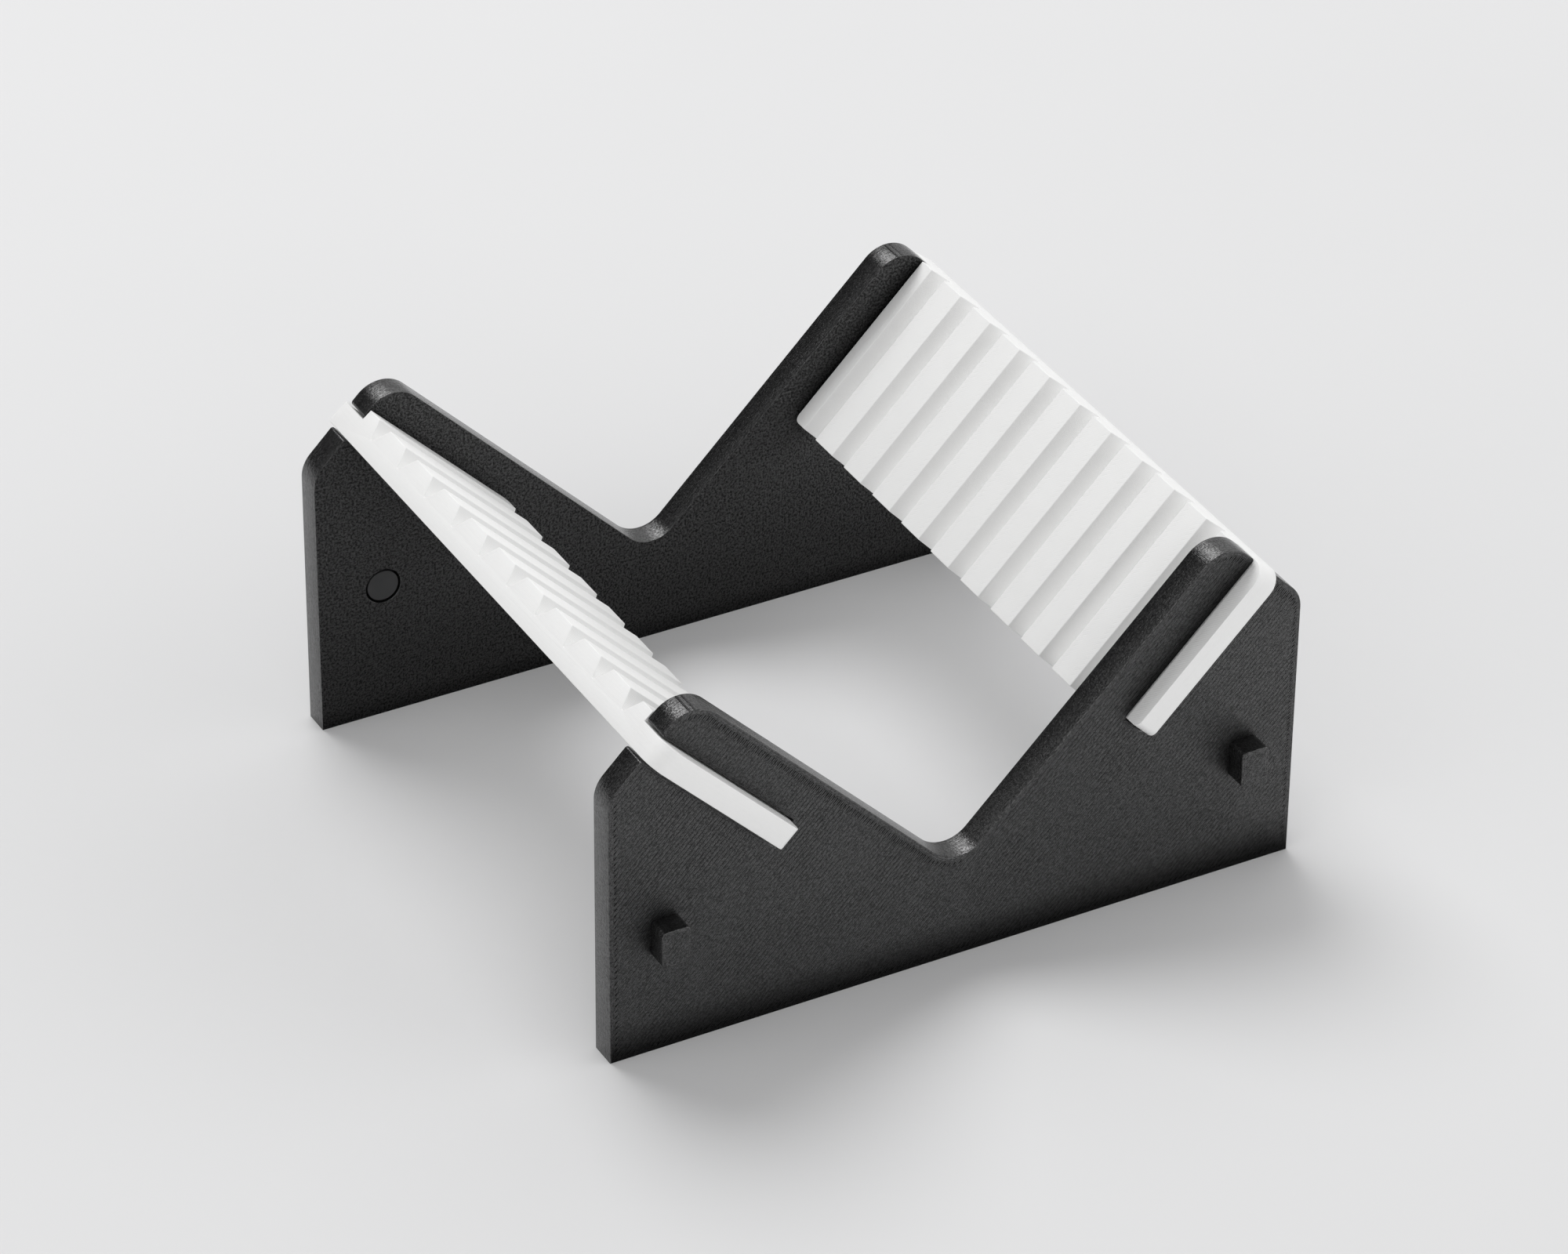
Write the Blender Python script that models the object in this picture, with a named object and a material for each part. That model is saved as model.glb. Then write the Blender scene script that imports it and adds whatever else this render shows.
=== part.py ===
"""Drying rack: two identical notched end plates joined by two grooved bars.

The rack stands on the ground plane, +Z up.  Its length runs along Y and its
width along X, and the V-shaped trough between the two bars opens upwards.
All sizes below are in millimetres and are turned into metres by MM.
"""

import math

import bmesh
import bpy
from mathutils import Euler, Matrix, Vector
from mathutils.geometry import tessellate_polygon

MM = 0.001

# End plate outline, seen along Y
PLATE_WIDTH = 125.0
PLATE_THICKNESS = 5.0
SIDE_HEIGHT = 50.0          # height where the side and the chamfer would meet
TROUGH_APEX_HEIGHT = 16.8   # height where the two slopes of the V would meet
SLOPE_ANGLE = math.radians(45.0)
OUTLINE_RADIUS = 5.75       # every rounded corner of the outline
LIP_RADIUS = 0.5            # small rounding at the mouth of each slot
SLOT_END_RADIUS = 0.5       # rounding of the closed end of each slot

# Fit between the pieces
SLOT_CLEARANCE = 0.35       # gap on each side of a tongue in its slot
SHOULDER_CLEARANCE = 0.3    # gap between a bar's shoulder and a plate

# Grooved bar
BAR_WIDTH = 34.8
BAR_THICKNESS = 6.2
TONGUE_THICKNESS = 4.2
TONGUE_INSET = 2.4          # step between the bar's lower edge and the tongue
TONGUE_REACH = 3.05         # length that stands out past a plate's outer face
TONGUE_OUTER_RADIUS = 3.3
TONGUE_LOWER_RADIUS = 1.25
BAR_LOWER_RADIUS = 1.25
BAR_EDGE_SETBACK = 0.1      # outer long edge below the plates' chamfer
OUTER_EDGE_LEAN = 0.65      # how much further that edge reaches at the back
FINGER_WIDTH = 7.6          # plate material between the V and a slot

# Grooves that hold the sheets, cut across the bar
GROOVE_COUNT = 10
GROOVE_PITCH = 9.9
GROOVE_TO_PLATE = 5.65      # middle of the first groove to the plate's inner face
GROOVE_MOUTH = 4.1
GROOVE_DEPTH = 3.3
GROOVE_BOTTOM_RADIUS = 0.35

# Rounded block on the outer face of a plate, one on each side
PEG_WIDTH = 5.05
PEG_HEIGHT = 6.8
PEG_REACH = 4.0
PEG_RADIUS = 0.9
PEG_INSET = 9.7             # middle of the block to the side of the plate
PEG_CENTRE_HEIGHT = 21.85

# Round insert in a pocket on the inner face of a plate, one on each side
INSERT_DIAMETER = 5.7
INSERT_INSET = 12.0         # middle of the insert to the side of the plate
INSERT_CENTRE_HEIGHT = 25.3
INSERT_SINK = 0.15          # the insert's face lies this far below the plate's
POCKET_CLEARANCE = 0.35
POCKET_DEPTH = 2.5

# Roundness of curves
ARC_STEP = math.radians(7.5)
CIRCLE_SEGMENTS = 48
SMOOTH_LIMIT = math.radians(30.0)
TRIM_OVERRUN = 2.0          # how far the trimming shapes reach past a bar

# Colours, linear values
BLACK = (0.028, 0.028, 0.029, 1.0)
WHITE = (0.80, 0.80, 0.79, 1.0)
GRAPHITE = (0.045, 0.045, 0.047, 1.0)

# Derived sizes
HALF_WIDTH = PLATE_WIDTH / 2
PEG_OFFSET = HALF_WIDTH - PEG_INSET
INSERT_OFFSET = HALF_WIDTH - INSERT_INSET
INNER_GAP = GROOVE_PITCH * (GROOVE_COUNT - 1) + 2 * GROOVE_TO_PLATE
SLOPE_COS = math.cos(SLOPE_ANGLE)
SLOPE_SIN = math.sin(SLOPE_ANGLE)
SLOPE_TAN = math.tan(SLOPE_ANGLE)
TIP_X = (SIDE_HEIGHT + HALF_WIDTH * SLOPE_TAN - TROUGH_APEX_HEIGHT) / (2 * SLOPE_TAN)
TIP_Z = TROUGH_APEX_HEIGHT + TIP_X * SLOPE_TAN
TIP_RUN = TIP_X / SLOPE_COS
SLOT_WIDTH = TONGUE_THICKNESS + 2 * SLOT_CLEARANCE
TONGUE_TOP = FINGER_WIDTH + SLOT_CLEARANCE
BAR_BACK = TONGUE_TOP + TONGUE_THICKNESS
BAR_OUTER_RUN = TIP_RUN - BAR_EDGE_SETBACK
BAR_LOWER_RUN = BAR_OUTER_RUN - BAR_WIDTH
TONGUE_LOWER_RUN = BAR_LOWER_RUN + TONGUE_INSET
SLOT_END_RUN = TONGUE_LOWER_RUN - SLOT_CLEARANCE
BODY_LENGTH = INNER_GAP - 2 * SHOULDER_CLEARANCE
BAR_LENGTH = INNER_GAP + 2 * (PLATE_THICKNESS + TONGUE_REACH)
POCKET_DIAMETER = INSERT_DIAMETER + 2 * POCKET_CLEARANCE
INSERT_THICKNESS = POCKET_DEPTH - INSERT_SINK - POCKET_CLEARANCE
PLATE_SHIFT = (INNER_GAP + PLATE_THICKNESS) / 2


def clear_scene():
    """Remove every object that the new file starts with."""
    for obj in list(bpy.data.objects):
        bpy.data.objects.remove(obj, do_unlink=True)


def make_material(name, colour, roughness):
    """Return an opaque plastic material."""
    material = bpy.data.materials.new(name)
    material.use_nodes = True
    shader = material.node_tree.nodes["Principled BSDF"]
    shader.inputs["Base Color"].default_value = colour
    shader.inputs["Roughness"].default_value = roughness
    material.diffuse_color = colour
    return material


def rounded_outline(corners):
    """Turn (x, y, radius) corners of a closed outline into points on it."""
    points = []
    count = len(corners)
    for index, (x, y, radius) in enumerate(corners):
        corner = Vector((x, y))
        if radius <= 0.0:
            points.append((x, y))
            continue
        before = Vector(corners[index - 1][:2])
        after = Vector(corners[(index + 1) % count][:2])
        towards_before = (before - corner).normalized()
        towards_after = (after - corner).normalized()
        opening = towards_before.angle(towards_after)
        tangent = radius / math.tan(opening / 2)
        start = corner + towards_before * tangent
        middle = (towards_before + towards_after).normalized()
        centre = corner + middle * (radius / math.sin(opening / 2))
        first = start - centre
        turn = math.pi - opening
        if towards_before.x * towards_after.y - towards_before.y * towards_after.x > 0:
            turn = -turn
        steps = max(2, math.ceil(abs(turn) / ARC_STEP - 1e-6))
        for step in range(steps + 1):
            angle = turn * step / steps
            cos_a, sin_a = math.cos(angle), math.sin(angle)
            points.append((centre.x + first.x * cos_a - first.y * sin_a,
                           centre.y + first.x * sin_a + first.y * cos_a))
    return points


def rectangle(centre_x, centre_y, width, height, radius):
    """Return a rectangle with rounded corners as a list of points."""
    half_w, half_h = width / 2, height / 2
    signs = ((-1, -1), (1, -1), (1, 1), (-1, 1))
    return rounded_outline([(centre_x + sx * half_w, centre_y + sy * half_h, radius)
                            for sx, sy in signs])


def circle(centre_x, centre_y, diameter):
    """Return a circle as a list of points."""
    points = []
    for index in range(CIRCLE_SEGMENTS):
        angle = 2 * math.pi * index / CIRCLE_SEGMENTS
        points.append((centre_x + diameter / 2 * math.cos(angle),
                       centre_y + diameter / 2 * math.sin(angle)))
    return points


class Shell:
    """Collects the vertices and faces of one closed body."""

    def __init__(self):
        self.verts = []
        self.faces = []

    def ring(self, points, y):
        """Add an outline of (x, z) points at height y and return its indices."""
        first = len(self.verts)
        self.verts.extend((x * MM, y * MM, z * MM) for x, z in points)
        return list(range(first, len(self.verts)))

    def wall(self, ring_a, ring_b):
        """Join two equal rings with a strip of quads."""
        count = len(ring_a)
        for index in range(count):
            after = (index + 1) % count
            self.faces.append((ring_a[index], ring_a[after], ring_b[after], ring_b[index]))

    def cover(self, outer, holes=()):
        """Close a ring, leaving the given rings open."""
        rings = [outer, *holes]
        flat = [index for ring in rings for index in ring]
        loops = [[Vector((self.verts[i][0], self.verts[i][2], 0.0)) for i in ring]
                 for ring in rings]
        for triangle in tessellate_polygon(loops):
            self.faces.append(tuple(flat[i] for i in triangle))

    def to_mesh(self, name):
        """Return the body as a mesh with outward normals."""
        mesh = bpy.data.meshes.new(name)
        mesh.from_pydata(self.verts, [], self.faces)
        mesh.update()
        turn_outwards(mesh)
        return mesh


def turn_outwards(mesh):
    """Make all normals of a closed mesh agree and point outwards."""
    work = bmesh.new()
    work.from_mesh(mesh)
    bmesh.ops.recalc_face_normals(work, faces=work.faces)
    if work.calc_volume(signed=True) < 0:
        bmesh.ops.reverse_faces(work, faces=work.faces)
    work.to_mesh(mesh)
    work.free()


def shade(mesh):
    """Smooth the curved walls and keep the real edges crisp."""
    mesh.shade_smooth()
    mesh.set_sharp_from_angle(angle=SMOOTH_LIMIT)


def plate_outline():
    """Return the outline of an end plate with its V and both slots."""
    def on_slope(run, depth):
        """Point at a distance up the right slope and a depth below it."""
        return (run * SLOPE_COS + depth * SLOPE_SIN,
                TROUGH_APEX_HEIGHT + run * SLOPE_SIN - depth * SLOPE_COS)

    slot_top, slot_bottom = FINGER_WIDTH, FINGER_WIDTH + SLOT_WIDTH
    right = [
        (HALF_WIDTH, 0.0, 0.0),
        (HALF_WIDTH, SIDE_HEIGHT, OUTLINE_RADIUS),
        (*on_slope(TIP_RUN, slot_bottom), LIP_RADIUS),
        (*on_slope(SLOT_END_RUN, slot_bottom), SLOT_END_RADIUS),
        (*on_slope(SLOT_END_RUN, slot_top), SLOT_END_RADIUS),
        (*on_slope(TIP_RUN, slot_top), LIP_RADIUS),
        (TIP_X, TIP_Z, OUTLINE_RADIUS),
    ]
    left = [(-x, z, radius) for x, z, radius in reversed(right)]
    return rounded_outline(right + [(0.0, TROUGH_APEX_HEIGHT, OUTLINE_RADIUS)] + left)


def plate_mesh():
    """Build an end plate; its outer face, with the pegs, looks along -Y."""
    outer_y, inner_y = -PLATE_THICKNESS / 2, PLATE_THICKNESS / 2
    outline = plate_outline()
    shell = Shell()
    outer_ring = shell.ring(outline, outer_y)
    inner_ring = shell.ring(outline, inner_y)
    shell.wall(outer_ring, inner_ring)
    peg_roots, pocket_rims = [], []
    for side in (-1, 1):
        peg = rectangle(side * PEG_OFFSET, PEG_CENTRE_HEIGHT, PEG_WIDTH, PEG_HEIGHT, PEG_RADIUS)
        root = shell.ring(peg, outer_y)
        head = shell.ring(peg, outer_y - PEG_REACH)
        shell.wall(root, head)
        shell.cover(head)
        peg_roots.append(root)
        pocket = circle(side * INSERT_OFFSET, INSERT_CENTRE_HEIGHT, POCKET_DIAMETER)
        rim = shell.ring(pocket, inner_y)
        floor = shell.ring(pocket, inner_y - POCKET_DEPTH)
        shell.wall(rim, floor)
        shell.cover(floor)
        pocket_rims.append(rim)
    shell.cover(outer_ring, peg_roots)
    shell.cover(inner_ring, pocket_rims)
    mesh = shell.to_mesh("end_plate")
    shade(mesh)
    return mesh


def insert_mesh():
    """Build the round insert, centred on its own axis along Y."""
    shell = Shell()
    disc = circle(0.0, 0.0, INSERT_DIAMETER)
    front = shell.ring(disc, -INSERT_THICKNESS / 2)
    back = shell.ring(disc, INSERT_THICKNESS / 2)
    shell.wall(front, back)
    shell.cover(front)
    shell.cover(back)
    mesh = shell.to_mesh("round_insert")
    shade(mesh)
    return mesh


def groove_corners(centre):
    """Corners of one V groove, going along +Y over the bar's top face."""
    half_angle = groove_half_angle()
    apex = GROOVE_MOUTH / 2 / math.tan(half_angle)
    return [
        (centre - GROOVE_MOUTH / 2, BAR_THICKNESS, 0.0),
        (centre, BAR_THICKNESS - apex, GROOVE_BOTTOM_RADIUS),
        (centre + GROOVE_MOUTH / 2, BAR_THICKNESS, 0.0),
    ]


def groove_half_angle():
    """Half angle that gives the groove its mouth, depth and round bottom."""
    angle = math.atan(GROOVE_MOUTH / 2 / GROOVE_DEPTH)
    for _ in range(20):
        apex = GROOVE_DEPTH + GROOVE_BOTTOM_RADIUS * (1 / math.sin(angle) - 1)
        angle = math.atan(GROOVE_MOUTH / 2 / apex)
    return angle


def bar_profile():
    """Side view of a bar as (y, z) points, back face at z = 0, both ends too long."""
    half_body = BODY_LENGTH / 2
    half_total = BAR_LENGTH / 2 + TRIM_OVERRUN
    corners = [
        (half_total, 0.0, 0.0),
        (half_total, TONGUE_THICKNESS, 0.0),
        (half_body, TONGUE_THICKNESS, 0.0),
        (half_body, BAR_THICKNESS, 0.0),
    ]
    first = -GROOVE_PITCH * (GROOVE_COUNT - 1) / 2
    for index in reversed(range(GROOVE_COUNT)):
        corners.extend(reversed(groove_corners(first + GROOVE_PITCH * index)))
    corners += [
        (-half_body, BAR_THICKNESS, 0.0),
        (-half_body, TONGUE_THICKNESS, 0.0),
        (-half_total, TONGUE_THICKNESS, 0.0),
        (-half_total, 0.0, 0.0),
    ]
    return rounded_outline(corners)


def bar_plan():
    """Plan of a bar as (x, y) points, x growing towards the outer edge."""
    half_body = BODY_LENGTH / 2
    half_total = BAR_LENGTH / 2
    outer, lower = BAR_WIDTH / 2, -BAR_WIDTH / 2
    tongue_lower = lower + TONGUE_INSET
    half = [
        (outer, half_total, TONGUE_OUTER_RADIUS),
        (tongue_lower, half_total, TONGUE_LOWER_RADIUS),
        (tongue_lower, half_body, 0.0),
        (lower, half_body, BAR_LOWER_RADIUS),
    ]
    mirrored = [(x, -y, radius) for x, y, radius in reversed(half)]
    return rounded_outline(half + mirrored)


def prism(name, outline, low, high, place):
    """Extrude an outline between two levels; place(a, b, level) gives x, y, z."""
    count = len(outline)
    verts = [Vector(place(a, b, level)) * MM for level in (low, high) for a, b in outline]
    faces = [(i, (i + 1) % count, count + (i + 1) % count, count + i) for i in range(count)]
    faces.append(tuple(range(count)))
    faces.append(tuple(range(count, 2 * count)))
    mesh = bpy.data.meshes.new(name)
    mesh.from_pydata(verts, [], faces)
    mesh.update()
    turn_outwards(mesh)
    return mesh


def leaning(x, y, z):
    """Place a point of the plan; the outer edge leans outwards towards the back."""
    reach = OUTER_EDGE_LEAN * (1.0 - z / BAR_THICKNESS) if x > 0.0 else 0.0
    return (x + reach, y, z)


def bar_mesh():
    """Build a bar: its grooved side view trimmed to its rounded plan."""
    profile = prism("bar_profile", bar_profile(),
                    -BAR_WIDTH / 2 - TRIM_OVERRUN, BAR_WIDTH / 2 + TRIM_OVERRUN,
                    lambda y, z, x: (x, y, z))
    plan = prism("bar_plan", bar_plan(), -TRIM_OVERRUN, BAR_THICKNESS + TRIM_OVERRUN, leaning)
    blank = bpy.data.objects.new("bar_blank", profile)
    trimmer = bpy.data.objects.new("bar_trimmer", plan)
    for obj in (blank, trimmer):
        bpy.context.scene.collection.objects.link(obj)
    cut = blank.modifiers.new("trim_to_plan", "BOOLEAN")
    cut.operation = "INTERSECT"
    cut.solver = "EXACT"
    cut.object = trimmer
    graph = bpy.context.evaluated_depsgraph_get()
    mesh = bpy.data.meshes.new_from_object(blank.evaluated_get(graph))
    mesh.name = "notched_bar"
    for obj in (blank, trimmer):
        bpy.data.objects.remove(obj, do_unlink=True)
    for spare in (profile, plan):
        bpy.data.meshes.remove(spare)
    shade(mesh)
    return mesh


def add_piece(name, mesh, material, location, rotation):
    """Place one piece of the rack in the scene."""
    piece = bpy.data.objects.new(name, mesh.copy())
    piece.data.name = name
    piece.data.materials.clear()
    piece.data.materials.append(material)
    piece.location = location
    piece.rotation_euler = rotation
    bpy.context.scene.collection.objects.link(piece)
    return piece


def build():
    """Build the whole rack."""
    clear_scene()
    plate = plate_mesh()
    bar = bar_mesh()
    insert = insert_mesh()

    for side, turn in (("front", 0.0), ("back", math.pi)):
        shift = Matrix.Rotation(turn, 4, "Z") @ Vector((0.0, -PLATE_SHIFT * MM, 0.0))
        material = make_material(f"{side}_plate_plastic", BLACK, 0.55)
        add_piece(f"{side}_end_plate", plate, material, shift, (0.0, 0.0, turn))
        insert_y = PLATE_THICKNESS / 2 - INSERT_SINK - INSERT_THICKNESS / 2 - PLATE_SHIFT
        for hand, sign in (("left", -1), ("right", 1)):
            own = Vector((sign * INSERT_OFFSET, insert_y, INSERT_CENTRE_HEIGHT)) * MM
            if side == "back":
                own.x = -own.x
            place = Matrix.Rotation(turn, 4, "Z") @ own
            name = f"{side}_{hand}_round_insert"
            material = make_material(f"{name}_plastic", GRAPHITE, 0.4)
            add_piece(name, insert, material, place, (0.0, 0.0, turn))

    middle_run = (BAR_OUTER_RUN + BAR_LOWER_RUN) / 2
    slope = Euler((0.0, -SLOPE_ANGLE, 0.0)).to_matrix()
    offset = slope @ Vector((middle_run, 0.0, -BAR_BACK))
    seat = (Vector((0.0, 0.0, TROUGH_APEX_HEIGHT)) + offset) * MM
    for hand, turn in (("right", 0.0), ("left", math.pi)):
        place = Matrix.Rotation(turn, 4, "Z") @ seat
        material = make_material(f"{hand}_bar_plastic", WHITE, 0.5)
        add_piece(f"{hand}_notched_bar", bar, material, place, (0.0, -SLOPE_ANGLE, turn))

    for spare in (plate, bar, insert):
        bpy.data.meshes.remove(spare)


build()
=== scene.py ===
"""Look of the drying rack: printed end plates, notched bars and round inserts.

Lengths of the pieces and their finishes are in millimetres and become metres
by MM; the camera and the studio are in metres. The plates and bars are modelled
in their own frames and placed like the solids.
"""

import sys

import logging
import math
from collections.abc import Iterable, Sequence
from dataclasses import dataclass, field
from enum import Enum

import bmesh
import bpy
from mathutils import Matrix, Vector
from mathutils.geometry import delaunay_2d_cdt

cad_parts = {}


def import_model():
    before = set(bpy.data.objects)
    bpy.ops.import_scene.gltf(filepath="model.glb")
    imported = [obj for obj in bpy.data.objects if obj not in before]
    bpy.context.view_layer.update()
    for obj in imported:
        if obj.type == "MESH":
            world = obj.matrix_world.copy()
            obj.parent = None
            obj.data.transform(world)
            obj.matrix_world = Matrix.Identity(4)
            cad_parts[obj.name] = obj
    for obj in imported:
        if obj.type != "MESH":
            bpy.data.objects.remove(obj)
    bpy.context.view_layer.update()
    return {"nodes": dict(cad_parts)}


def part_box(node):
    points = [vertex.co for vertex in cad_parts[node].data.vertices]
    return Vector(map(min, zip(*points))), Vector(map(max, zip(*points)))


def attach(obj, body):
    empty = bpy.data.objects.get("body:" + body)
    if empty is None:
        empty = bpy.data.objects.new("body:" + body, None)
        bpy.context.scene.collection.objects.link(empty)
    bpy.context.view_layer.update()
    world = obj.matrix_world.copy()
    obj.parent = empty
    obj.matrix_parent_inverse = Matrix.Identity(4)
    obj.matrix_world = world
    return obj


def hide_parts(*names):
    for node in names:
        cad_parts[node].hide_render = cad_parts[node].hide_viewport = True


MM = 0.001
WELD = 2e-6
DIAGONAL = math.sqrt(0.5)
FINE_ARC = math.radians(4.5)
PLAN_ARC = math.radians(9.0)
COARSE_ARC = math.radians(15.0)
SHARP_PLATE = math.radians(32.0)
SHARP_BAR = math.radians(40.0)

Point = tuple[float, float]
Socket = bpy.types.NodeSocket
Value = Socket | float
Relief = tuple[Socket, Socket, Socket]

log = logging.getLogger("drying_rack")


class Surface(Enum):
    """Kinds of surface that printing leaves on a piece."""

    RASTER = "raster"
    WALL = "wall"
    BED = "bed"
    SLOPE = "slope"


class Side(Enum):
    """The two ends or hands of the rack and the turn that places each."""

    FIRST = 0.0
    SECOND = math.pi


@dataclass(frozen=True)
class Grain:
    """Noise pattern: cells in each millimetre, number and strength of finer octaves."""

    scale: float
    detail: float = 2.0
    rough: float = 0.5


@dataclass(frozen=True)
class Ramp:
    """Smooth step from one output to another while the input goes from low to high."""

    low: float
    high: float
    start: float = 0.0
    end: float = 1.0


class Graph:
    """Adds nodes to one node tree and links them."""

    OPEN_FROM = 0.15
    OPEN_FULL = 0.80
    OPEN_SAMPLES = 4

    def __init__(self, tree: bpy.types.NodeTree) -> None:
        """Start from an empty tree."""
        self.tree = tree
        tree.nodes.clear()

    def add(self, kind: str, **settings: object) -> bpy.types.Node:
        """Add a node.

        Args:
            kind: Blender's type name of the node.
            settings: Properties to set on it.

        Returns:
            The new node.
        """
        node = self.tree.nodes.new(kind)
        for key, value in settings.items():
            setattr(node, key, value)
        return node

    def feed(self, socket: Socket, value: Value | Sequence[float]) -> None:
        """Link a socket to a value's socket, or write the value on it.

        Args:
            socket: Input to fill.
            value: An output socket, or a number or colour.
        """
        if isinstance(value, bpy.types.NodeSocket):
            self.tree.links.new(value, socket)
        else:
            socket.default_value = value

    def math(self, operation: str, first: Value, second: Value = 0.0, clamp: bool = False) -> Socket:
        """Return a Math node's result.

        Args:
            operation: Blender's name of the operation.
            first: First operand.
            second: Second operand, where the operation has one.
            clamp: Whether the result is kept between 0 and 1.

        Returns:
            The output socket.
        """
        node = self.add("ShaderNodeMath", operation=operation, use_clamp=clamp)
        self.feed(node.inputs[0], first)
        self.feed(node.inputs[1], second)
        return node.outputs[0]

    def times(self, first: Value, second: Value) -> Socket:
        """Return the product of two values."""
        return self.math("MULTIPLY", first, second)

    def plus(self, *terms: Value) -> Socket:
        """Return the sum of some values.

        Args:
            terms: Two or more values.

        Returns:
            The output socket.
        """
        total = terms[0]
        for term in terms[1:]:
            total = self.math("ADD", total, term)
        return total

    def minus(self, first: Value, second: Value) -> Socket:
        """Return the difference of two values."""
        return self.math("SUBTRACT", first, second)

    def scaled(self, value: Value, factor: float, base: float) -> Socket:
        """Return a value times a factor, added to a base."""
        return self.plus(self.times(value, factor), base)

    def ridges(self, place: Value, period: float) -> Socket:
        """Return ridges of a period in millimetres, from 0 in sharp grooves up to 1."""
        return self.math("ABSOLUTE", self.math("SINE", self.times(place, math.pi / period)))

    def steps(self, value: Value, ramp: Ramp) -> Socket:
        """Return a smooth step.

        Args:
            value: Input of the step.
            ramp: Its limits and outputs.

        Returns:
            The output socket.
        """
        node = self.add("ShaderNodeMapRange", interpolation_type="SMOOTHSTEP", clamp=True)
        for index, number in enumerate((value, ramp.low, ramp.high, ramp.start, ramp.end)):
            self.feed(node.inputs[index], number)
        return node.outputs[0]

    def vector(self, x: Value, y: Value, z: Value) -> Socket:
        """Return a vector made of three values.

        Args:
            x: First part.
            y: Second part.
            z: Third part.

        Returns:
            The output socket.
        """
        node = self.add("ShaderNodeCombineXYZ")
        for socket, value in zip(node.inputs, (x, y, z)):
            self.feed(socket, value)
        return node.outputs[0]

    def noise(self, place: Socket, grain: Grain) -> Socket:
        """Return a noise texture's value, about 0.5 on average.

        Args:
            place: Coordinates in millimetres.
            grain: The pattern.

        Returns:
            The output socket.
        """
        node = self.add("ShaderNodeTexNoise")
        self.feed(node.inputs["Vector"], place)
        node.inputs["Scale"].default_value = grain.scale
        node.inputs["Detail"].default_value = grain.detail
        node.inputs["Roughness"].default_value = grain.rough
        return node.outputs["Fac"]

    def streaked(self, across: Socket, along: Socket, run: float, grain: Grain) -> Socket:
        """Return noise drawn out along printed lines; a small run makes long streaks."""
        return self.noise(self.vector(across, self.times(along, run), 0.0), grain)

    def layered(self, parts: Sequence[Socket], factors: Sequence[float], grain: Grain) -> Socket:
        """Return noise at an x, y and z that are each taken times a factor."""
        scaled = (self.times(part, factor) for part, factor in zip(parts, factors))
        return self.noise(self.vector(*scaled), grain)

    def millimetres(self) -> tuple[Socket, Socket, Socket, Socket]:
        """Return the object's own coordinates in millimetres.

        Returns:
            The vector and its x, y and z.
        """
        own = self.add("ShaderNodeTexCoord").outputs["Object"]
        scaled = self.add("ShaderNodeVectorMath", operation="SCALE")
        self.feed(scaled.inputs[0], own)
        scaled.inputs["Scale"].default_value = 1.0 / MM
        parts = self.add("ShaderNodeSeparateXYZ")
        self.feed(parts.inputs[0], scaled.outputs[0])
        return (scaled.outputs[0], *parts.outputs)

    def attribute(self, name: str) -> Socket:
        """Return a mesh attribute's value."""
        return self.add("ShaderNodeAttribute", attribute_name=name).outputs["Fac"]

    def blend(self, share: Value, first: Sequence[float], second: Sequence[float]) -> Socket:
        """Return a mix of two colours.

        Args:
            share: Share of the second colour; beyond 1 it goes on past it.
            first: Colour at 0.
            second: Colour at 1.

        Returns:
            The output socket.
        """
        node = self.add("ShaderNodeMix", data_type="RGBA")
        self.feed(node.inputs["Factor"], share)
        node.clamp_factor = False
        node.inputs["A"].default_value = (*first, 1.0)
        node.inputs["B"].default_value = (*second, 1.0)
        return node.outputs["Result"]

    def openness(self, towards: Vector, reach: float, least: float) -> Socket:
        """Return how free of neighbours a point is on one side.

        Args:
            towards: Direction of that side, in the object's own frame.
            reach: Distance at which a neighbour no longer counts, in millimetres.
            least: Result right beside a neighbour.

        Returns:
            From least to 1, which is in the open.
        """
        # The black finishes use this to paint shade beside neighbours.
        turned = self.add("ShaderNodeVectorTransform", vector_type="NORMAL",
                          convert_from="OBJECT", convert_to="WORLD")
        turned.inputs[0].default_value = towards
        around = self.add("ShaderNodeAmbientOcclusion", samples=self.OPEN_SAMPLES)
        around.inputs["Distance"].default_value = reach * MM
        self.feed(around.inputs["Normal"], turned.outputs[0])
        return self.steps(around.outputs["AO"], Ramp(self.OPEN_FROM, self.OPEN_FULL, least))

    def bump(self, height: Socket) -> Socket:
        """Return the normal of a relief.

        Args:
            height: Height in millimetres.

        Returns:
            The output socket of the normal.
        """
        node = self.add("ShaderNodeBump")
        node.inputs["Strength"].default_value = 1.0
        node.inputs["Distance"].default_value = MM
        self.feed(node.inputs["Height"], height)
        return node.outputs["Normal"]


@dataclass(frozen=True)
class PrintLines:
    """Sizes of the marks that the printing leaves.

    Lines of the top faces, layers of the walls, width of the lines along a
    border, and grain of the print bed.
    """

    spacing: float = 0.382
    layer: float = 0.2
    border: float = 0.8
    pebble: float = 0.42


LINES = PrintLines()


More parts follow.
